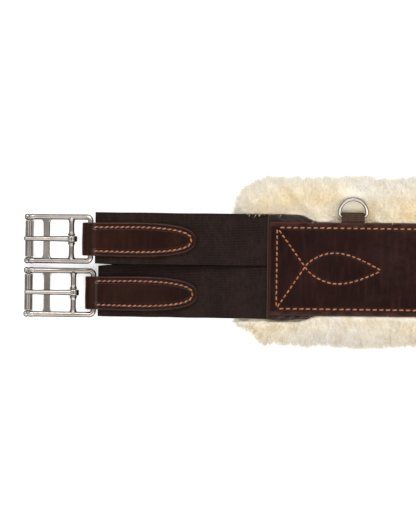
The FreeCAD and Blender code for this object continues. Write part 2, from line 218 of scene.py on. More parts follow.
def point_tree(dots):
    """A search tree of flat points."""
    tree = KDTree(len(dots))
    for k, (x, y) in enumerate(dots):
        tree.insert((x, y, 0), k)
    tree.balance()
    return tree


def slab(top, floor_z, wear_and_highlight):
    """A closed piece: its top surface, a flat underside and four worn cut edges."""
    bottom = top.copy()
    bottom[..., 2] = floor_z
    shape = Mesh()
    shape.grid(top, value=wear_and_highlight)
    shape.grid(bottom[::-1])
    for rim in ((0,), (-1,), (slice(None), 0), (slice(None), -1)):
        shape.grid(np.stack([top[rim], bottom[rim]]), value=np.ones(len(top[rim]) * 2))
    return shape


def close_ends(shape, points):
    """Closes both ends of a flat tube whose rows run out over its top and back underneath."""
    columns = points.shape[1] // 2
    for cut in (points[0], points[-1]):
        shape.grid(np.stack([cut[:columns], cut[columns:][::-1]]))


# ---- shading tools

class Nodes:
    """A node tree, with short calls for the nodes that the looks use."""

    def __init__(self, tree, coordinates):
        self.tree = tree
        self.place = tree.nodes.new("ShaderNodeTexCoord").outputs[coordinates]

    def feed(self, socket, value):
        """Links a socket to another node's output, or sets the socket's own value."""
        if isinstance(value, bpy.types.NodeSocket):
            self.tree.links.new(value, socket)
        else:
            socket.default_value = (*value, 1) if socket.type == "RGBA" else value

    def node(self, kind, **inputs):
        made = self.tree.nodes.new(kind)
        for label, value in inputs.items():
            self.feed(made.inputs[label.replace("_", " ")], value)
        return made

    def split(self):
        """The X, Y and Z of the place being shaded."""
        return self.node("ShaderNodeSeparateXYZ", Vector=self.place).outputs

    def scaled(self, stretch):
        if stretch is None:
            return self.place
        return self.node("ShaderNodeMapping", Vector=self.place, Scale=stretch).outputs["Vector"]

    def noise(self, scale, detail=3.0, stretch=None, rough=0.5):
        place = self.scaled(stretch)
        made = self.node("ShaderNodeTexNoise", Vector=place, Scale=scale, Detail=detail, Roughness=rough)
        return made.outputs["Fac"]

    def cells(self, scale, feature="F1"):
        made = self.node("ShaderNodeTexVoronoi", Vector=self.place, Scale=scale)
        made.feature = feature
        return made.outputs["Distance"]

    def ribs(self, pitch, axis, wobble=0.0):
        """A smooth wave from 0 to 1 along one axis, with this pitch in millimetres."""
        scale = math.pi / 10 / (pitch * MM)
        made = self.node("ShaderNodeTexWave", Vector=self.place, Scale=scale, Distortion=wobble)
        made.bands_direction = axis
        return made.outputs["Fac"]

    def math(self, operation, *values):
        made = self.tree.nodes.new("ShaderNodeMath")
        made.operation = operation
        for socket, value in zip(made.inputs, values):
            self.feed(socket, value)
        return made.outputs[0]

    def sum_of(self, *parts):
        """Two (source, share) parts added."""
        return self.math("ADD", *[self.math("MULTIPLY", source, share) for source, share in parts])

    def ramp(self, factor, stops):
        """Maps 0..1 through (place, colour) stops; a colour may be one grey number."""
        made = self.node("ShaderNodeValToRGB", Fac=factor)
        steps = made.color_ramp.elements
        while len(steps) < len(stops):
            steps.new(0.5)
        for step, (at, colour) in zip(steps, stops):
            step.position = at
            step.color = (*colour, 1) if isinstance(colour, tuple) else (colour, colour, colour, 1)
        return made.outputs["Color"]

    def rise(self, source, low, high, top=1.0):
        """A share that goes from 0 to top while the source goes from low to high."""
        return self.ramp(source, [(low, 0.0), (high, top)])

    def mix(self, factor, first, second, blend="MIX"):
        made = self.tree.nodes.new("ShaderNodeMix")
        made.data_type = "RGBA"
        made.blend_type = blend
        sockets = {socket.identifier: socket for socket in made.inputs}
        for label, value in (("Factor_Float", factor), ("A_Color", first), ("B_Color", second)):
            self.feed(sockets[label], value)
        return next(s for s in made.outputs if s.identifier == "Result_Color")


class Shader(Nodes):
    """The node tree of one material, round its Principled shader."""

    def __init__(self, name, **sockets):
        self.material = bpy.data.materials.new(name)
        self.material.use_nodes = True
        super().__init__(self.material.node_tree, "Object")
        self.surface = self.tree.nodes["Principled BSDF"]
        self.give(**sockets)

    def give(self, **sockets):
        """Links or sets the shader's own sockets."""
        for label, value in sockets.items():
            self.feed(self.surface.inputs[label.replace("_", " ")], value)

    def tone(self):
        """The value that the mesh carries at each point."""
        made = self.tree.nodes.new("ShaderNodeAttribute")
        made.attribute_name = "tone"
        return made.outputs["Fac"]

    def rough(self, scale, detail, low, high):
        """Roughness that wanders between two values."""
        self.give(Roughness=self.ramp(self.noise(scale, detail), [(0.3, low), (0.7, high)]))

    def relief(self, *layers):
        """Bump from (height, depth in millimetres) layers."""
        normal = None
        for height, depth in layers:
            made = self.node("ShaderNodeBump", Height=height, Distance=depth * MM, Strength=1.0)
            if normal is not None:
                self.feed(made.inputs["Normal"], normal)
            normal = made.outputs["Normal"]
        self.give(Normal=normal)


SCUFFED = (0.036, 0.0175, 0.0130)


def leather_material(name, dark, light, edge, coat, ridge):
    """Waxed leather: mottled, pored, scuffed towards the girth's middle, rubbed at its edges.

    The mesh's tone runs from 0 on plain leather to 1 on a worn edge; ridge is the coat between. Tones between
    also paint a lighter colour, a highlight along seam ridges and fold crests.
    """
    s = Shader(name, Coat_Roughness=0.14, Specular_IOR_Level=0.06)
    shine = s.ramp(s.tone(), [(0.0, coat), (0.18, coat), (0.3, ridge), (0.42, 0.15)])
    s.give(Coat_Weight=shine)
    patches = s.noise(38, 4, rough=0.6)
    streaks = s.noise(300, 4, stretch=(1, 0.16, 1))
    body = s.mix(s.rise(patches, 0.36, 0.68), dark, light)
    body = s.mix(s.rise(streaks, 0.50, 0.80, 0.15), body, edge)
    scuffs = s.sum_of((s.noise(15, 3), 0.7), (s.noise(220, 4, rough=0.7), 0.3))
    from_middle = s.math("MULTIPLY", s.math("ABSOLUTE", s.split()["X"]), 1 / (PANEL_END * MM))
    middle = s.ramp(from_middle, [(0.45, 1.0), (0.64, 0.1), (0.95, 0.0)])
    scuffed = s.math("MULTIPLY", middle, s.rise(scuffs, 0.40, 0.56, 0.7))
    body = s.mix(scuffed, body, SCUFFED)
    # Painted highlight: tones up to 0.45 lighten the colour along seam ridges and fold crests; near a chape's
    # bar they lighten the fold.
    body = s.mix(s.rise(s.tone(), 0.0, 0.45, 0.7), body, light)
    s.give(Base_Color=s.mix(s.rise(s.tone(), 0.5, 1.0, 0.85), body, edge))
    s.rough(70, 4, 0.36, 0.5)
    pores = s.cells(1500, "SMOOTH_F1")
    creases = s.noise(420, 5, stretch=(1, 0.5, 1))
    s.relief((creases, 0.10), (pores, 0.04))
    return s.material


def raw_leather_material(name, dark, light):
    """Flesh side or unfinished leather: matte and fibrous."""
    s = Shader(name, Sheen_Weight=0.15)
    s.give(Base_Color=s.mix(s.rise(s.noise(120, 5), 0.35, 0.7), dark, light))
    s.rough(300, 3, 0.62, 0.85)
    s.relief((s.noise(900, 4), 0.12), (s.cells(2200), 0.05))
    return s.material


def thread_material():
    """Waxed orange linen thread with its twist."""
    s = Shader("orange_thread", Sheen_Weight=0.1, Specular_IOR_Level=0.3)
    dark, light = (0.36, 0.105, 0.035), (0.60, 0.235, 0.092)
    s.give(Base_Color=s.mix(s.rise(s.noise(500, 3), 0.3, 0.7), dark, light))
    s.rough(800, 2, 0.5, 0.7)
    s.relief((s.ribs(0.55, "DIAGONAL"), 0.12), (s.noise(3000, 2), 0.04))
    return s.material


# Near black, painted along each elastic's inner edge as the shadow where the front elastic lies over the rear
# one.
GAP_SHADOW = (0.0012, 0.0008, 0.0007)


def webbing_material(name, dark, light, along_pitch, across_pitch):
    """Woven webbing: ribs along it crossed by fine weft, with a near black painted shadow where its tone is
    high.
    """
    s = Shader(name, Sheen_Weight=0.01, Sheen_Roughness=0.5, Specular_IOR_Level=0.05)
    ribs = s.ribs(along_pitch, "Y", wobble=0.25)
    weft = s.ribs(across_pitch, "X", wobble=0.25)
    weave = s.math("MULTIPLY", s.math("ADD", ribs, 0.35), s.math("ADD", weft, 0.5))
    cloud = s.sum_of((s.noise(60, 5, rough=0.65), 0.6), (s.noise(700, 3, stretch=(1, 0.3, 1)), 0.4))
    body = s.mix(s.rise(weave, 0.15, 1.0), dark, light)
    body = s.mix(s.rise(cloud, 0.46, 0.56, 0.85), body, light)
    s.give(Base_Color=s.mix(s.tone(), body, GAP_SHADOW))
    s.rough(600, 2, 0.7, 0.9)
    s.relief((ribs, 0.22), (weft, 0.12), (s.noise(2500, 3), 0.1))
    return s.material


WOOL_REACH = (203.0, 66.0)  # about how far the wool reaches from the middle, along and across


def wool_material(name, curled):
    """Cream wool: warm beside the leather, paler at its margins, with painted shade between tufts, at fibre
    roots and beside the leather, and a faint painted glow for light scattered in the fleece.
    """
    # Painted light: a faint emission stands in for light scattered among the fibres.
    s = Shader(name, Specular_IOR_Level=0.1, Emission_Strength=0.06, Emission_Color=(0.95, 0.84, 0.66))
    pale, warm, shade_colour = (0.81, 0.785, 0.73), (0.86, 0.735, 0.49), (0.58, 0.46, 0.30)
    split = s.split()
    across = s.math("MULTIPLY", s.math("ABSOLUTE", split["Y"]), 1 / (WOOL_REACH[1] * MM))
    along = s.math("MULTIPLY", s.math("ABSOLUTE", split["X"]), 1 / (WOOL_REACH[0] * MM))
    margin = s.math("MAXIMUM", across, s.math("POWER", along, 2.5))
    inner = s.ramp(margin, [(0.70, 1.0), (0.95, 0.0)])
    front = s.ramp(s.math("ADD", s.math("MULTIPLY", split["Y"], 10), 0.5), [(0.1, 0.62), (0.8, 1.0)])
    blotches = s.rise(s.noise(22, 3, rough=0.4), 0.34, 0.62)
    body = s.mix(s.math("MULTIPLY", s.math("MULTIPLY", inner, front), blotches), pale, warm)
    # Painted shade: low tones mix in the shade colour between tufts, at fibre roots and where the wool meets
    # the leather and straps.
    s.give(Base_Color=s.mix(s.ramp(s.tone(), [(0.0, 0.75), (0.5, 0.0)]), body, shade_colour))
    s.rough(400, 2, 0.75, 0.95)
    if curled:
        s.relief((s.noise(500, 4), 0.35), (s.noise(1500, 5, rough=0.7), 0.2))
    else:
        s.relief((s.noise(2500, 2), 0.05))
    return s.material


def steel_material():
    """Polished stainless steel, slightly worn, with a painted reflection: bright where it faces the view,
    near black where it curves away.
    """
    s = Shader("polished_steel", Metallic=1.0, Specular_Tint=(0.35, 0.33, 0.31))
    turned = s.node("ShaderNodeLayerWeight", Blend=0.5).outputs["Facing"]
    # Painted reflection: the colour is brightest facing the view and darkens to near black towards grazing
    # angles.
    bright = s.ramp(turned, [
        (0.0, (0.56, 0.50, 0.455)),
        (0.24, (0.68, 0.62, 0.575)),
        (0.44, (0.12, 0.104, 0.092)),
        (0.80, (0.025, 0.021, 0.018)),
    ])
    cloud = s.ramp(s.noise(90, 4), [(0.35, 0.72), (0.7, 1.0)])
    s.give(Base_Color=s.mix(1.0, bright, cloud, "MULTIPLY"))
    s.give(Roughness=s.ramp(s.noise(260, 5, rough=0.7), [(0.3, 0.07), (0.75, 0.17)]))
    scratches = s.noise(900, 3, stretch=(0.08, 1, 1))
    s.relief((scratches, 0.010), (s.noise(300, 2), 0.02))
    return s.material


def foam_material():
    s = Shader("felt_foam")
    s.give(Base_Color=s.mix(s.noise(200, 3), (0.55, 0.50, 0.38), (0.70, 0.66, 0.54)))
    s.rough(500, 2, 0.8, 0.95)
    s.relief((s.cells(1200), 0.2))
    return s.material


DARK_LEATHER = leather_material(
    "dark_leather",
    dark=(0.0110, 0.0026, 0.0018), light=(0.0190, 0.0053, 0.0040), edge=(0.120, 0.046, 0.034),
    coat=0.14, ridge=0.3,
)
CHAPE_LEATHER = leather_material(
    "chape_leather",
    dark=(0.0115, 0.0022, 0.0010), light=(0.0230, 0.0058, 0.0028), edge=(0.100, 0.034, 0.019),
    coat=0.12, ridge=1.0,
)
LIP_LEATHER = leather_material(
    "reinforcement_leather",
    dark=(0.018, 0.010, 0.008), light=(0.036, 0.022, 0.018), edge=(0.20, 0.11, 0.075),
    coat=0.3, ridge=0.4,
)
BACKING = raw_leather_material("backing_leather", (0.09, 0.05, 0.03), (0.18, 0.11, 0.07))
HIDE = raw_leather_material("hide_suede", (0.55, 0.46, 0.32), (0.72, 0.63, 0.48))
ELASTIC = webbing_material(
    "elastic_webbing", (0.0045, 0.0024, 0.0019), (0.0285, 0.0172, 0.0148), 1.15, 0.9)
CORE = webbing_material("core_webbing", (0.30, 0.27, 0.20), (0.62, 0.58, 0.48), 2.0, 1.4)
DEE_WEBBING = webbing_material("dee_webbing", (0.018, 0.009, 0.0065), (0.075, 0.044, 0.032), 1.5, 1.3)
THREAD = thread_material()
WOOL = wool_material("wool_base", True)
WOOL_FIBRE = wool_material("wool_fibre", False)
STEEL = steel_material()
FOAM = foam_material()


# ---- stitches

def walk(path, pitch, start=0.0, stop=0.0):
    """Middle and direction of each stitch along a line of points."""
    length = run_length(path)[-1]
    count = max(1, int((length - start - stop) / pitch))
    spare = (length - start - stop - count * pitch) / 2
    at = start + spare + (np.arange(count) + 0.5) * pitch
    middle = along_path(path, at)
    direction = along_path(path, at + 0.3) - middle
    return middle, np.arctan2(direction[:, 1], direction[:, 0])


def sew(shape, path, pitch, length, height_at, slant=0.0, start=0.0, stop=0.0):
    """Adds a row of stitches: short fat threads whose ends dive into the leather."""
    middle, heading = walk(path, pitch, start, stop)
    heading = heading + math.radians(slant) + RNG.normal(0, 0.05, len(heading))
    stations = np.array([-0.5, -0.42, -0.22, 0.0, 0.22, 0.42, 0.5])
    thick = np.array([0.25, 0.72, 0.98, 1.0, 0.98, 0.72, 0.25])
    lift = np.array([-0.55, -0.1, 0.18, 0.24, 0.18, -0.1, -0.55])
    around = np.linspace(0, 2 * math.pi, 8, endpoint=False)
    for (x, y), angle in zip(middle, heading):
        size = length * RNG.uniform(0.93, 1.05)
        ux, uy = math.cos(angle), math.sin(angle)
        along = stations[:, None] * size
        side = thick[:, None] * THREAD_WIDTH / 2 * np.cos(around)[None, :]
        up = thick[:, None] * THREAD_HEIGHT * np.sin(around)[None, :] + lift[:, None]
        px = x + along * ux - side * uy
        py = y + along * uy + side * ux
        pz = height_at(x, y) + up
        ring = np.stack([px, py, pz], axis=-1)
        shape.grid(ring, wrap=True)
        for end in (0, -1):
            cap = ring[end]
            shape.add(cap, np.array([[0, 1, 2, 3], [0, 3, 4, 7], [4, 5, 6, 7]]))


GROOVE_REACH = 4.0  # a seam presses the leather down no farther away than this


def distance_to(paths, x, y):
    """Distance from each grid point to the nearest of some lines, where one is within reach."""
    best = np.full(x.shape, 1e9)
    for path in paths:
        dots = along_path(path, np.arange(0, run_length(path)[-1], 0.5))
        tree = point_tree(dots)
        low, high = dots.min(0) - GROOVE_REACH, dots.max(0) + GROOVE_REACH
        near = (x > low[0]) & (x < high[0]) & (y > low[1]) & (y < high[1])
        for i, j in zip(*np.nonzero(near)):
            found = tree.find((x[i, j], y[i, j], 0))[2]
            best[i, j] = min(best[i, j], found)
    return best


# ---- leather panel

def panel_seams():
    """The panel's lines of stitching as (points, pitch, stitch) from above."""
    front = PANEL_FRONT - SEAM_FRONT
    rear = PANEL_REAR + SEAM_REAR
    x = PANEL_END - SEAM_END
    seams = [(np.array([[-x, y], [x, y]]), SEAM_PITCH, SEAM_STITCH) for y in (front, rear)]
    for side in ENDS.values():
        seams.append((np.array([[side * x, rear], [side * x, front]]), FISH_PITCH, FISH_STITCH))
        for corner, turn in ((front, -1), (rear, 1)):
            t = np.linspace(0, 1, 60)
            run = FISH_NOSE - FISH_CROSSING
            body_x = side * (PANEL_END - FISH_CROSSING - run * t)
            middle = PANEL_Y + FISH_RISE[0] + (FISH_RISE[1] - FISH_RISE[0]) * t
            body_y = middle + turn * FISH_HALF_WIDTH * np.sin(math.pi * t**FISH_FULLNESS)
            body = np.stack([body_x, body_y], axis=1)
            seams.append((np.vstack([[[side * x, corner]], body]), FISH_PITCH, FISH_STITCH))
    return seams


def leather_swell(x, y):
    """The panel's gentle unevenness, and the lift over its soft middle."""
    across = (y - PANEL_Y) / PANEL_HALF
    return 0.28 * waves(x, y, 46, 3) + 0.10 * waves(x, y, 14, 4) + 0.35 * (1 - across**2)


def leather_panel():
    seams = panel_seams()
    rim = 1.2
    xs = edged(-PANEL_END, PANEL_END, 0.95, rim)
    ys = edged(PANEL_REAR, PANEL_FRONT, 0.8, rim)
    x, y = np.meshgrid(xs, ys, indexing="ij")
    from_side = PANEL_HALF - np.abs(y - PANEL_Y)
    inset = np.minimum(PANEL_END - np.abs(x), from_side)
    groove = np.exp(-((distance_to([seam[0] for seam in seams], x, y) / 0.95) ** 2))
    z = LEATHER_HIGH[2] + leather_swell(x, y) - edge_roll(inset, rim) - 0.42 * groove
    border = 0.70 * smooth_step((SEAM_FRONT - from_side) / 1.4) * (0.9 + 0.1 * waves(x, y, 9, 5))
    wear_and_highlight = np.maximum(1 - np.clip(inset / 1.6, 0, 1) + 0.2 * groove, border)
    shape = slab(np.stack([x, y, z], axis=-1), LEATHER_LOW[2], wear_and_highlight)
    panel = finished_mesh("leather_panel", shape, DARK_LEATHER)
    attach(panel, "panel")
    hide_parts("outer_leather_panel")

    def height_at(px, py):
        return LEATHER_HIGH[2] + float(leather_swell(px, py)) - 0.30

    thread = Mesh()
    for path, pitch, length in seams:
        sew(thread, path, pitch, length, height_at, slant=4, start=0.5, stop=0.1)
    sewn = finished_mesh("panel_stitching", thread, THREAD)
    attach(sewn, "panel")


def reinforcement(end):
    """The leather over the elastics: a thin lip at the panel's end and wrinkled shoulders."""
    side = ENDS[end]
    low, high = node_box(end + "_end_reinforcement")
    inner, outer = sorted(np.abs([low[0], high[0]]))
    middle, wide = (low[1] + high[1]) / 2, (high[1] - low[1]) / 2
    xs = edged(inner, outer, 0.7, 0.9)
    inward = PANEL_END - xs
    taper = smooth_step((inward - 20) / 17)
    bulge = np.exp(-(((inward - 9) / 8) ** 2))
    front = (wide + 0.5 + 0.4 * bulge) * (1 - taper) + PANEL_HALF * taper
    rear = (wide - 1.9 + 1.3 * bulge) * (1 - taper) + PANEL_HALF * taper
    share = np.sin(np.linspace(-1, 1, 101) * math.pi / 2)
    half = np.where(share[None, :] > 0, front[:, None], rear[:, None])
    x = np.repeat(xs[:, None], len(share), axis=1)
    y = middle + half * share[None, :]
    over = np.abs(y - middle) - PANEL_HALF
    rim = np.minimum(half * (1 - np.abs(share))[None, :], outer - x)
    folds = np.sin((x - 0.9 * over) * 0.85 + 1.1 * waves(x, y, 9, 11))
    loose = smooth_step(over / 2.0) * smooth_step((PANEL_END - x) / 12)
    z = high[2] - edge_roll(rim, 0.9) + loose * (0.35 * folds - 0.10 * over)
    # The rim is worn; the fold crests are lightened as a painted highlight.
    wear_and_highlight = 1 - np.clip(rim / 1.0, 0, 1) + 0.25 * loose * np.clip(folds, 0, 1)
    shape = slab(np.stack([side * x, y, z], axis=-1), low[2], wear_and_highlight)
    layer = finished_mesh(end + "_reinforcement", shape, LIP_LEATHER)
    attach(layer, "panel")
    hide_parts(end + "_end_reinforcement")


# ---- straps

BEND_LENGTH = 16.0  # over this length a strap turns down to its own slope


class Strap:
    """One strap's places, in a frame that runs out along it: (out, across, above)."""

    def __init__(self, end, row):
        self.name = f"{end}_{row}"
        self.row = row
        self.side = ENDS[end]
        self.pivot = joint_point(self.name + "_strap_flex")
        self.bar = joint_point(self.name + "_buckle_swing")
        axis = JOINTS[self.name + "_elastic_stretch"]["axis"]
        self.slope = math.atan2(-axis[2], abs(axis[0]))
        self.y = self.pivot[1]
        self.flex = abs(self.pivot[0]) - PANEL_END
        self.bar_out = self.flex + np.linalg.norm((self.bar - self.pivot)[[0, 2]])

    def place(self, points):
        """Row-frame points from (out, across, above), rigid with the strap beyond its bend."""
        out = points[..., 0] - self.flex
        above = points[..., 2]
        x = abs(self.pivot[0]) + out * math.cos(self.slope) + above * math.sin(self.slope)
        z = self.pivot[2] - out * math.sin(self.slope) + above * math.cos(self.slope)
        return np.stack([self.side * x, self.y + points[..., 1], z], axis=-1)

    def bent(self, points):
        """Row-frame points that follow the strap's soft bend at its root."""
        fine = np.linspace(-60, 160, 2201)
        angle = self.slope * smooth_step((fine - self.flex + BEND_LENGTH / 2) / BEND_LENGTH)
        step = fine[1] - fine[0]
        run = np.concatenate([[0], np.cumsum(np.cos(angle[:-1]) * step)])
        fall = np.concatenate([[0], np.cumsum(np.sin(angle[:-1]) * step)])
        run = run - np.interp(self.flex, fine, run)
        straight = fall[-1] - math.tan(self.slope) * run[-1]
        out = points[..., 0]
        lean = np.interp(out, fine, angle)
        x = abs(self.pivot[0]) + np.interp(out, fine, run) + points[..., 2] * np.sin(lean)
        z = self.pivot[2] - np.interp(out, fine, fall) + straight + points[..., 2] * np.cos(lean)
        return np.stack([self.side * x, self.y + points[..., 1], z], axis=-1)

    def at(self, out, across=0.0, above=0.0):
        return self.place(np.array([out, across, above], float)) * MM


ELASTIC_THICK = 2.0
ELASTIC_SHIFT = 1.2  # both elastics lie a little towards the front edge
ELASTIC_TOUCH = {"front": 0.0, "rear": -0.6}  # inner edges, from the line between the two
ELASTIC_OUTER = {"front": 36.2, "rear": -39.5}
ELASTIC_SHORT = {"front": 3.3, "rear": 3.5}  # how far short of the buckle's bar each one ends
ELASTIC_STEP = {"front": 0.55, "rear": -0.75}  # the front elastic's inner edge lies over the rear one's
ELASTIC_STEP_WIDTH = 5.0
ELASTIC_OPENING = 0.8  # each inner edge from that line, at the buckles
ELASTIC_OPENING_LENGTH = 24.0
ELASTIC_JOIN = 24.0  # where the length through the bend meets the outer length
ELASTIC_WAVE = 34.0
ELASTIC_COLUMNS = 49


def webbing_band(strap, first, last, end):
    """A length of webbing as a closed band with soft edges and a little wave."""
    row = strap.row
    turn = 1 if row == "front" else -1
    seed = 20 + ROWS.index(row)
    outs = spaced(first, last, 1.0)
    share = np.sin(np.linspace(-1, 1, ELASTIC_COLUMNS) * math.pi / 2)
    near_end = np.clip((outs - end + ELASTIC_OPENING_LENGTH) / ELASTIC_OPENING_LENGTH, 0, 1)
    opening = (ELASTIC_OPENING - ELASTIC_TOUCH[row]) * near_end**2
    inner = PANEL_Y + ELASTIC_SHIFT + turn * (ELASTIC_TOUCH[row] + opening) - strap.y
    outer = ELASTIC_OUTER[row] + 0.12 * waves(outs, 0 * outs, ELASTIC_WAVE, seed) - strap.y
    middle, half = (inner + outer) / 2, np.abs(outer - inner) / 2
    ring = np.concatenate([share, share[::-1]])
    sign = np.concatenate([np.ones(ELASTIC_COLUMNS), -np.ones(ELASTIC_COLUMNS)])
    across = middle[:, None] + half[:, None] * ring[None, :]
    rim = half[:, None] * (1 - np.abs(ring))[None, :]
    body = ELASTIC_THICK / 2 - edge_roll(rim, 0.7) * ELASTIC_THICK / 1.4
    out = np.repeat(outs[:, None], len(ring), axis=1)
    drift = smooth_step((out - 2) / 12) * 0.2 * waves(out, across, ELASTIC_WAVE, seed + 1)
    from_inner = half[:, None] * (1 + turn * ring[None, :])
    lapped = 1 - smooth_step(from_inner / ELASTIC_STEP_WIDTH)
    step = ELASTIC_STEP[row] * lapped * smooth_step((end - out) / 30)
    above = sign[None, :] * body + drift + step
    points = strap.bent(np.stack([out, across, above], axis=-1))
    shape = Mesh()
    # The tone paints a near black shadow line along the inner edge, where the two elastics meet.
    shape.grid(points, wrap=True, value=1 - smooth_step((from_inner - 0.3) / 0.5) + 0 * out)
    close_ends(shape, points)
    return shape


def elastic(strap):
    """The elastic in two lengths: one through the bend at the panel, one on towards the chape."""
    node = strap.name + "_elastic"
    low, high = node_box(node)
    hidden_end = min(abs(low[0]), abs(high[0])) - PANEL_END
    last = strap.bar_out - ELASTIC_SHORT[strap.row]
    root = webbing_band(strap, hidden_end + 2, ELASTIC_JOIN, last)
    root = finished_mesh(node + "_root", root, ELASTIC)
    outer = webbing_band(strap, ELASTIC_JOIN, last, last)
    outer = finished_mesh(node + "_outer", outer, ELASTIC)
    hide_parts(node)
    strap.at(0.5)
    strap.at(ELASTIC_JOIN - 3)
    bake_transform(root)
    start, end = strap.at(ELASTIC_JOIN + 1), strap.at(60)
    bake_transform(outer)


# Chape, measured inboard from the buckle's bar
CHAPE_THICK = 2.8
CHAPE_SEAM = 3.5
CHAPE_STITCH_PITCH = 3.8
CHAPE_STITCH = 2.9
CHAPE_STITCH_SLANT = 24
CHAPE_SEAM_START = 2.0
CHAPE_POINT = 14.0  # length of the rounded tip
CHAPE_PAST_BAR = 5.0  # taken off the whole length for the loop past the bar
CHAPE_SPREAD = 0.15  # how far each edge reaches past the plain solid
CHAPE_CROWD = 0.93  # how strongly the mesh's columns crowd towards the edges
LOOP_R = 3.8  # to the leather's middle, where it turns round the bar
LOOP_OUT = 0.9  # the turn's centre, past the bar's
MERGE = 9.0  # where the two layers come together on the elastic
STACK_MIDDLE = 2.45  # from the elastic's middle to each layer's
# Its outline: share of the length, and share of the greatest half width
CHAPE_OUTLINE = [
    (0.0, 0.965), (0.12, 0.975), (0.30, 0.995), (0.44, 1.0), (0.57, 0.985), (0.70, 0.935), (0.80, 0.855),
    (0.87, 0.765), (0.92, 0.66), (0.955, 0.54), (0.98, 0.39), (0.994, 0.23), (1.0, 0.0),
]


def smooth_chain(points, count):
    """A curve through the points (Catmull-Rom), evenly sampled between them."""
    knots = np.vstack([2 * points[0] - points[1], points, 2 * points[-1] - points[-2]])
    t = np.linspace(0, 1, count)[:, None]
    spans = []
    for k in range(len(points) - 1):
        a, b, c, d = knots[k:k + 4]
        square, cube = 2 * a - 5 * b + 4 * c - d, 3 * b - a - 3 * c + d
        spans.append(0.5 * (2 * b + (c - a) * t + square * t**2 + cube * t**3))
    return np.vstack(spans)


def chape_edge(half, tip):
    """One side of the chape's outline, from the bar to its tip, as (inboard, across) points."""
    curve = smooth_chain(np.array(CHAPE_OUTLINE) * [tip, half], 90)
    return np.stack([np.maximum.accumulate(curve[:, 0]), np.maximum(curve[:, 1], 0)], axis=1)


def rim_distance(edge, inboard, across):
    """Distance of each point from the chape's outline, both sides alike."""
    tree = point_tree(edge)
    inboard, across = np.broadcast_arrays(inboard, np.abs(across))
    found = [tree.find((x, y, 0))[2] for x, y in zip(inboard.ravel(), across.ravel())]
    return np.array(found).reshape(inboard.shape)


def chape_dome(rim):
    """Relief of the top leather: rolled edge, sewn groove and raised middle."""
    roll = -edge_roll(rim, 1.1)
    flange = -0.25 * (1 - smooth_step(rim / CHAPE_SEAM))
    groove = -0.5 * np.exp(-(((rim - CHAPE_SEAM) / 0.75) ** 2))
    past = rim - CHAPE_SEAM
    middle = 0.7 * smooth_step((past - 0.3) / 1.8) + 0.25 * smooth_step((past - 1) / 7)
    return roll + flange + groove + middle


def layer_height(inboard):
    """How far the upper layer's middle lies above the elastic's, rising to the loop."""
    return STACK_MIDDLE + (LOOP_R - STACK_MIDDLE) * smooth_step((MERGE - inboard) / (MERGE + LOOP_OUT))


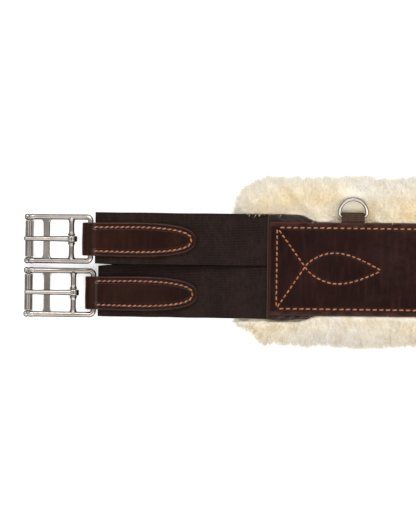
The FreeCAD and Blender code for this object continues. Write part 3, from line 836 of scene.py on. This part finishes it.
def chape(strap):
    """One strip of leather, from its top tip round the bar to its bottom tip, and its stitching."""
    node = strap.name + "_chape"
    low, high = node_box(node)
    half = (high[1] - low[1]) / 2 + CHAPE_SPREAD
    tip = (high[0] - low[0]) / math.cos(strap.slope) - CHAPE_PAST_BAR
    edge = chape_edge(half, tip)
    turn = 1 - np.cos(np.linspace(0, math.pi / 2, 18))
    tail = np.concatenate([
        tip - CHAPE_POINT * turn,
        spaced(tip - CHAPE_POINT, MERGE, 1.4)[1:],
        spaced(MERGE, -LOOP_OUT, 1.2)[1:],
    ])
    swing = np.linspace(math.pi / 2, -math.pi / 2, 19)[1:-1]
    level = layer_height(tail)
    path = np.concatenate([
        np.stack([-tail, level], axis=1),
        np.stack([LOOP_OUT + LOOP_R * np.cos(swing), LOOP_R * np.sin(swing)], axis=1),
        np.stack([-tail[::-1], -level[::-1]], axis=1),
    ])
    normal = square_to(path)
    inboard = np.clip(-path[:, 0], 0, tip)
    width = np.interp(inboard, edge[:, 0], edge[:, 1])
    share = np.sin(np.linspace(-1, 1, 75) * math.pi / 2 * CHAPE_CROWD) / math.sin(math.pi / 2 * CHAPE_CROWD)
    across = width[:, None] * share[None, :]
    rim = rim_distance(edge, inboard[:, None], across)
    on_top = smooth_step((path[:, 1] + 1.5) / 3.0)[:, None]
    fade = smooth_step((inboard - 0.2) / 3.0)[:, None]
    relief = chape_dome(rim) * on_top * fade - edge_roll(rim, 0.9) * (1 - on_top * fade)
    relief = relief + 0.08 * waves(-path[:, :1], across, 17, 31 + len(strap.name))
    outside = CHAPE_THICK / 2 + relief
    inside = -CHAPE_THICK / 2 + edge_roll(rim, 0.5)

    def layer(offset):
        x = strap.bar_out + path[:, :1] + normal[:, :1] * offset
        z = path[:, 1:] + normal[:, 1:] * offset
        return strap.place(np.stack([x, across, z], axis=-1))

    outer, inner = layer(outside), layer(inside)
    bent = 0.42 * (1 - smooth_step((inboard - 1) / 6))[:, None]
    # Beside each seam the tone is 0.3: a glossier coat, and a lighter colour painted on as a highlight line.
    seam_gloss_and_highlight = np.exp(-(((rim - CHAPE_SEAM) / 1.2) ** 2)) * (inboard > CHAPE_SEAM_START)[:, None]
    wear_and_highlight = np.maximum(np.maximum(1 - np.clip(rim / 1.2, 0, 1), bent), 0.3 * seam_gloss_and_highlight)
    shape = Mesh()
    shape.grid(outer, value=wear_and_highlight)
    shape.grid(inner[::-1])
    for column in (0, -1):
        shape.grid(np.stack([outer[:, column], inner[:, column]]), value=np.ones(len(outer) * 2))
    leather = finished_mesh(node + "_leather", shape, CHAPE_LEATHER, sharp=60)
    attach(leather, strap.name + "_chape")
    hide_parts(node)

    inset = edge - square_to(edge) * CHAPE_SEAM
    inset = inset[(inset[:, 1] > 0) & (inset[:, 0] > CHAPE_SEAM_START)]
    start = np.array([[CHAPE_SEAM_START, inset[0, 1]]])
    seam = np.vstack([start, inset, inset[::-1] * [1, -1], start * [1, -1]])
    thread = Mesh()

    def height_at(px, py):
        return float(layer_height(px)) + CHAPE_THICK / 2 - 0.38

    sew(thread, seam, CHAPE_STITCH_PITCH, CHAPE_STITCH, height_at, slant=CHAPE_STITCH_SLANT)
    local = np.vstack(thread.points)
    local = np.stack([strap.bar_out - local[:, 0], local[:, 1], local[:, 2]], axis=-1)
    thread.points = [strap.place(local)]
    sewn = finished_mesh(node + "_stitching", thread, THREAD)
    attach(sewn, strap.name + "_chape")


# ---- dee loop

def dee_loop(end):
    """Ribbed webbing folded round the dee's straight side, its tails under the leather."""
    low, high = node_box(end + "_dee_loop")
    bar = DEE_BARS[end]
    half, thick = (high[0] - low[0]) / 2, 1.1
    radius = high[1] - bar[1] - thick / 2
    swing = np.linspace(math.pi / 2, -math.pi / 2, 17)
    flat = spaced(low[1], bar[1] - 2.5, 0.8)
    top, bottom = high[2] - 2.4, low[2] + 1.1
    rise = smooth_step((flat - flat[0] - 1.5) / (flat[-1] - flat[0] - 1.5))
    upper = top + (bar[2] + radius - top) * rise
    lower = bottom + (bar[2] - radius - bottom) * rise
    path = np.concatenate([
        np.stack([flat, upper], axis=1),
        np.stack([bar[1] + radius * np.cos(swing), bar[2] + radius * np.sin(swing)], axis=1),
        np.stack([flat[::-1], lower[::-1]], axis=1),
    ])
    normal = square_to(path)
    over = np.linspace(-1, 1, 41) * half
    ribs = 0.09 * np.cos(over * 2 * math.pi / 1.9)
    ring_x = np.concatenate([over, over[::-1]])
    lift = np.concatenate([thick / 2 + ribs, -thick / 2 + 0 * ribs])
    x = bar[0] + np.repeat(ring_x[None, :], len(path), axis=0)
    y = path[:, :1] + normal[:, :1] * lift[None, :]
    z = path[:, 1:] + normal[:, 1:] * lift[None, :]
    shape = Mesh()
    points = np.stack([x, y, z], axis=-1)
    shape.grid(points, wrap=True)
    close_ends(shape, points)
    loop = finished_mesh(end + "_dee_webbing", shape, DEE_WEBBING)
    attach(loop, "panel")
    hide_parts(end + "_dee_loop")


# ---- sheepskin

WOOL_FRINGE = 2.2  # how far the fibres reach past the wool's body
SPINE = 134.0
SPINE_Y = 2.0
WOOL_CREST = 27.0
WOOL_BRIM = 24.6  # beside the leather
WOOL_PRESSED = 19.0  # under the leather
WOOL_BELT = 11.0  # height of the widest place
COVER_HALF = 38.8  # half width of the straps and the leather over them
TOP_ROLL = 12.0
FOOT_ROLL = 7.0
TUFT_PITCH = 4.4
TOP_ROWS = 30
TOP_ROLL_ROWS = 14

UNDERSIDE_Z = 1.2  # fibres rooted below this lie under the girth
FIBRE_COUNT = 32000
FIBRES = {"long": (81, 5.2, 0.24), "middle": (82, 4.2, 0.22), "short": (83, 3.2, 0.22)}  # seed, length, width

# The fleece's edge from above at one end: distance in from its end, and place across
FRONT_CORNER = [
    (0.3, 0.0), (0.0, 30.0), (-0.3, 44.0), (1.2, 48.5), (6.0, 53.8), (14.9, 60.6), (21.0, 62.4), (34.0, 63.6),
    (62.7, 64.4),
]
REAR_CORNER = [
    (62.7, -59.5), (34.0, -58.3), (21.5, -56.6), (16.5, -54.0), (11.0, -48.6), (5.5, -46.6), (0.8, -45.4),
    (0.2, -38.0),
]
FLEECE_END = 197.3


def wool_outline(count):
    """Points round the fleece's body, seen from above, with uneven margins."""
    end = np.array(FRONT_CORNER[::-1] + REAR_CORNER[::-1])
    left = np.stack([-(FLEECE_END - end[:, 0]), end[:, 1]], axis=1)
    right = left[::-1] * [-1, 1]
    outline = np.vstack([left, right, left[:1]])
    points = along_path(outline, np.linspace(0, run_length(outline)[-1], count * 4, endpoint=False))
    soft = sum(np.roll(points, k, axis=0) for k in range(-9, 10)) / 19
    points = soft[::4]
    loose = 0.8 * waves(points[:, 0], points[:, 1], 42, 51) + 0.55 * waves(points[:, 0], points[:, 1], 15, 52)
    tangent = np.roll(points, -1, axis=0) - np.roll(points, 1, axis=0)
    away = unit(np.stack([-tangent[:, 1], tangent[:, 0]], axis=1))
    if np.sum(away * (points - [0, SPINE_Y])) < 0:
        away = -away
    return points + away * (loose - WOOL_FRINGE)[:, None]


def cover_half(x):
    """Half width of what lies on the wool: the panel, then its shoulders and the straps."""
    return PANEL_HALF + (COVER_HALF - PANEL_HALF) * smooth_step((np.abs(x) - PANEL_END + 37) / 16)


def wool_height(x, y):
    """Top of the wool: a crest round the leather, pressed down under straps and rings."""
    beside = np.abs(y - PANEL_Y) - cover_half(x)
    past = np.abs(x) - PANEL_END
    brim = WOOL_BRIM - 2.6 * smooth_step((past + 38) / 16) - 1.2 * smooth_step((past + 2) / 8)
    crest = brim + (WOOL_CREST - brim) * smooth_step(beside / 10)
    below = WOOL_PRESSED - 3.4 * smooth_step((past - 4) / 20)
    height = below + (crest - below) * smooth_step((beside + 1.6) / 1.6)
    for bar in DEE_BARS.values():
        spread = np.hypot(np.maximum(np.abs(x - bar[0]) - 9, 0), np.maximum(y - bar[1] - 6, 0))
        inside = (1 - smooth_step((spread - 2) / 9)) * (y > PANEL_Y)
        seat = bar[2] - 3.4 + 0.32 * np.clip(y - bar[1], 0, 20)
        height = height + (np.minimum(height, seat) - height) * inside
    return height


def tuft_phase(along, depth, y):
    """Counts tufts round the fleece; whole numbers are the middles of tufts."""
    sway = 0.45 * np.sin(depth * 0.21 + along * 0.043) + 0.3 * np.sin(along * 0.19 + depth * 0.08)
    return along / TUFT_PITCH + sway + 0.2 * waves(along, y, 40, 63)


def wool_body():
    """The fleece as one closed skin; returns what the fibres need to know about it."""
    outline = wool_outline(760)
    spine = np.stack([np.clip(outline[:, 0], -SPINE, SPINE), SPINE_Y + np.zeros(len(outline))], axis=1)
    ray = outline - spine
    reach = np.linalg.norm(ray, axis=1)
    steps = np.linalg.norm(outline - np.roll(outline, 1, axis=0), axis=1)
    along = np.cumsum(steps)
    levels = []
    for share in np.linspace(0.30, 1, TOP_ROWS, endpoint=False):
        levels.append((TOP_ROLL + (1 - share) * (reach - TOP_ROLL), 90.0))
    for angle in np.linspace(90, 0, TOP_ROLL_ROWS):
        levels.append((TOP_ROLL * (1 - math.cos(math.radians(angle))) + 0 * reach, angle))
    for angle in np.linspace(0, -90, 8)[1:]:
        levels.append((FOOT_ROLL * (1 - math.cos(math.radians(angle))) + 0 * reach, angle))
    for share in np.linspace(1, 0, 22)[1:]:
        levels.append((FOOT_ROLL + (1 - share) * (reach - FOOT_ROLL), -90.0))
    rows, depths = [], []
    for inset, angle in levels:
        plan = outline - ray * (inset / reach)[:, None]
        rise = math.sin(math.radians(angle))
        span = wool_height(plan[:, 0], plan[:, 1]) - WOOL_BELT if angle >= 0 else WOOL_BELT - 0.8
        rows.append(np.stack([plan[:, 0], plan[:, 1], WOOL_BELT + rise * span + 0 * reach], axis=1))
        depths.append(inset + (WOOL_BELT - WOOL_BELT * rise))
    points, depth = np.stack(rows), np.stack(depths)

    around = np.roll(points, -1, axis=1) - np.roll(points, 1, axis=1)
    normal = unit(np.cross(around, np.gradient(points, axis=0)))
    belt = TOP_ROWS + TOP_ROLL_ROWS - 1
    outward = ray / reach[:, None]
    if np.sum(normal[belt, :, :2] * outward) < 0:
        normal = -normal

    x, y, z = points[..., 0], points[..., 1], points[..., 2]
    beside = np.abs(y - PANEL_Y) - cover_half(x)
    free = np.maximum(smooth_step(beside / 3.0), z < 15.0)
    calm = np.ones_like(z)
    for bar in DEE_BARS.values():
        close = np.hypot(x - bar[0], y - bar[1] - 5)
        calm = calm * (0.3 + 0.7 * smooth_step((close - 10) / 8))
    phase = tuft_phase(along[None, :], depth, y)
    tuft = 0.5 + 0.5 * np.cos(2 * math.pi * phase)
    rear = smooth_step((10 - y) / 20)
    edge = smooth_step((30 - depth) / 22)
    strength = edge * (0.06 + 0.60 * rear)
    relief = 0.85 * waves(x + 0.7 * z, y + z, 26, 64) + 0.4 * waves(x, y + z, 9, 65)
    relief = relief + 0.9 * strength * (tuft - 0.6)
    foot = smooth_step((z - 0.5) / 4.0)
    moved = points + normal * (relief * free * calm * (0.2 + 0.8 * foot))[..., None]
    moved[..., 2] = np.maximum(moved[..., 2], 0.15)
    # Painted shade in the tone: lower between tufts and where the wool lies beside or under the leather and
    # straps; the waves are random variation.
    tone = 0.62 + (0.07 + 0.11 * rear) * waves(x, y + z, 12, 66) - 0.45 * strength * (1 - tuft)
    tone = np.clip(tone - 0.25 * (1 - smooth_step(beside / 3.0)) * (z > 15), 0, 1)

    shape = Mesh()
    closed = np.concatenate([moved, moved[:, :1]], axis=1)
    shape.grid(closed, value=np.concatenate([tone, tone[:, :1]], axis=1))
    body = finished_mesh("sheepskin_wool", shape, WOOL, sharp=180)
    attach(body, "panel")
    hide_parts("sheepskin_fleece")
    grow = np.repeat(outward[None], len(points), axis=0)
    tangent = np.repeat(np.stack([-outward[:, 1], outward[:, 0]], axis=1)[None], len(points), axis=0)
    if np.sum((np.roll(outline, -1, axis=0) - outline) * tangent[0]) < 0:
        tangent = -tangent
    return {
        "points": moved, "normal": normal, "outward": grow, "tangent": tangent,
        "tone": tone, "calm": calm, "strength": strength, "depth": depth,
        "along": np.repeat(along[None], len(points), axis=0),
        "free": free * (z > UNDERSIDE_Z),
        "under": (z < UNDERSIDE_Z) * (np.abs(normal[..., 2]) > 0.9),
    }


def wool_fibres(name, count, surface, seed, length, width, under=False):
    """Loose curling fibres combed outward into tufts, as thin tapering blades.

    Those under the girth lie flat.
    """
    rng = np.random.default_rng(seed)
    points = surface["points"]
    beside, below = np.roll(points, -1, axis=1) - points, np.gradient(points, axis=0)
    area = np.linalg.norm(np.cross(beside, below), axis=-1)
    chance = (surface["under" if under else "free"] * area).ravel()
    pick = rng.choice(len(chance), size=count, p=chance / chance.sum())

    def picked(key):
        value = surface[key]
        return value.reshape(-1, value.shape[-1])[pick] if value.ndim == 3 else value.ravel()[pick]

    root = points.reshape(-1, 3)[pick]
    root = root + beside.reshape(-1, 3)[pick] * rng.uniform(0, 1, (count, 1))
    root = root + below.reshape(-1, 3)[pick] * rng.uniform(-0.5, 0.5, (count, 1))
    normal = picked("normal")
    outward, tangent = (np.pad(picked(key), ((0, 0), (0, 1))) for key in ("outward", "tangent"))
    phase = tuft_phase(picked("along"), picked("depth"), root[:, 1])
    pull = (np.round(phase) - phase) * TUFT_PITCH * picked("strength")
    swirl = waves(root[:, 0], root[:, 1], 11, 71)[:, None] * tangent
    combed = outward * (0.35 + 0.5 * picked("strength"))[:, None]
    flatten = [1, 1, 0.1 if under else 1]
    lean = unit((normal + combed + 0.35 * swirl + rng.normal(0, 0.28, (count, 3))) * flatten)
    side = unit(np.cross(lean, rng.normal(0, 1, (count, 3))))
    curl = np.cross(lean, side) * flatten
    size = length * rng.uniform(0.55, 1.2, count) * picked("calm")
    tip = root + lean * size[:, None]
    over_rear = (np.abs(tip[:, 0]) < PANEL_END) * (tip[:, 1] < PANEL_Y) * smooth_step(tip[:, 1] - PANEL_REAR)
    size = size * (1 - 0.8 * over_rear)
    bend = rng.uniform(-0.5, 0.5, count) * size
    sunk = 0.05 if under else 0.6
    rows = []
    for share, wide in ((0.0, 1.0), (0.4, 0.9), (0.75, 0.65), (1.0, 0.2)):
        spine = root - normal * sunk + lean * (size * share)[:, None]
        spine = spine + curl * (bend * share**2)[:, None]
        spine = spine + tangent * (0.7 * pull * share**1.5)[:, None]
        rows += [spine - side * width * wide / 2, spine + side * width * wide / 2]
    blades = np.stack(rows, axis=1)
    blades[..., 2] = np.maximum(blades[..., 2], 0.1)
    quads = np.array([[0, 1, 3, 2], [2, 3, 5, 4], [4, 5, 7, 6]])[None] + np.arange(count)[:, None, None] * 8
    # Painted shade and light along each fibre: a darker root and a lighter tip.
    lift = np.repeat([-0.25, 0.0, 0.12, 0.25], 2)
    value = np.clip(picked("tone")[:, None] + lift[None, :] + rng.normal(0, 0.06, (count, 1)), 0, 1)
    shape = Mesh()
    shape.add(blades.reshape(-1, 3), quads.reshape(-1, 4), value)
    fibres = finished_mesh(name, shape, WOOL_FIBRE, sharp=180, weld=False)
    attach(fibres, "panel")


# ---- steel and inner layers

def repaint(node, material):
    data = NODES[node].data
    data.materials.clear()
    data.materials.append(material)
    data.shade_smooth()
    data.set_sharp_from_angle(angle=math.radians(35))


def repaint_nodes():
    for end in ENDS:
        repaint(end + "_dee_ring", STEEL)
        for row in ROWS:
            for part in ("buckle_frame", "roller_axle", "roller", "tongue"):
                repaint(f"{end}_{row}_{part}", STEEL)
    layers = {"backing_leather": BACKING, "core_webbing": CORE, "foam_core": FOAM, "sheepskin_hide": HIDE}
    for node, material in layers.items():
        repaint(node, material)


# ---- camera, floor and light

VIEW_HEIGHT = 375.6  # millimetres from the top to the bottom of the picture
VIEW_CENTRE = (-216.2, 2.5)
CAMERA_HEIGHT = 1500.0
SUBJECT_HEIGHT = 20.0
SENSOR = 36.0
CAMERA_ROLL = 0.75
FLOOR_REACH = 3.0  # metres from the middle to each side


def camera():
    data = bpy.data.cameras.new("camera")
    data.sensor_width = SENSOR
    data.lens = SENSOR * (CAMERA_HEIGHT - SUBJECT_HEIGHT) / VIEW_HEIGHT
    data.clip_end = 20
    viewer = placed("camera", data)
    viewer.location = Vector((*VIEW_CENTRE, CAMERA_HEIGHT)) * MM
    viewer.rotation_euler = (0, 0, math.radians(CAMERA_ROLL))
    bpy.context.scene.camera = viewer


def softbox(name, place, aim, size, power):
    data = bpy.data.lights.new(name, "AREA")
    data.shape = "RECTANGLE"
    data.size, data.size_y = size
    data.energy = power
    lamp = placed(name, data)
    lamp.location = place
    lamp.rotation_euler = (Vector(aim) - Vector(place)).to_track_quat("-Z", "Y").to_euler()


def floor():
    """A plain white paper sheet, lit a little from behind like a light table."""
    s = Shader("floor_paper", Roughness=0.95, Specular_IOR_Level=0.0)
    s.give(Emission_Strength=0.5, Emission_Color=(1, 1, 1))
    s.give(Base_Color=s.mix(s.noise(2, 2), (0.90, 0.90, 0.90), (0.92, 0.92, 0.92)))
    data = bpy.data.meshes.new("floor")
    corners = [(x * FLOOR_REACH, y * FLOOR_REACH, 0) for x, y in ((-1, -1), (1, -1), (1, 1), (-1, 1))]
    data.from_pydata(corners, [], [(0, 1, 2, 3)])
    data.materials.append(s.material)
    ground = placed("floor", data)


def studio():
    """Two bright banks before and behind the girth, a dim band overhead and a bright rib towards each end."""
    world = bpy.data.worlds.new("studio")
    world.use_nodes = True
    bpy.context.scene.world = world
    sky = Nodes(world.node_tree, "Generated")
    split = sky.split()
    upward = sky.ramp(split["Z"], [(0.0, 0.14), (0.24, 0.18), (0.36, 0.55), (0.52, 1.0)])
    banks = sky.ramp(sky.math("ABSOLUTE", split["Y"]), [(0.17, 0.0), (0.30, 1.0)])
    band = [(0.0, 0.22), (0.14, 0.24), (0.30, 0.55), (0.42, 0.95), (0.55, 0.42), (1.0, 0.22)]
    overhead = sky.ramp(sky.math("ABSOLUTE", split["X"]), band)
    background = sky.tree.nodes["Background"].inputs
    sky.feed(background["Color"], sky.math("MULTIPLY", sky.math("MAXIMUM", banks, overhead), upward))
    sky.feed(background["Strength"], 1.35)
    softbox("key", (-0.2, 1.25, 1.15), (-0.1, 0, 0), (1.8, 0.2), 9)
    softbox("fill", (0.4, -1.1, 1.3), (0.0, 0, 0), (1.2, 0.6), 4)
    bpy.context.scene.view_settings.view_transform = "Standard"


camera()
floor()
studio()
repaint_nodes()
leather_panel()
for end in ENDS:
    reinforcement(end)
    dee_loop(end)
    for row in ROWS:
        strap = Strap(end, row)
        elastic(strap)
        chape(strap)
fleece = wool_body()
for kind, (seed, length, width) in FIBRES.items():
    wool_fibres("wool_fibres_" + kind, FIBRE_COUNT, fleece, seed, length, width)
wool_fibres("wool_fibres_under", 30000, fleece, 84, 7.0, 0.5, under=True)
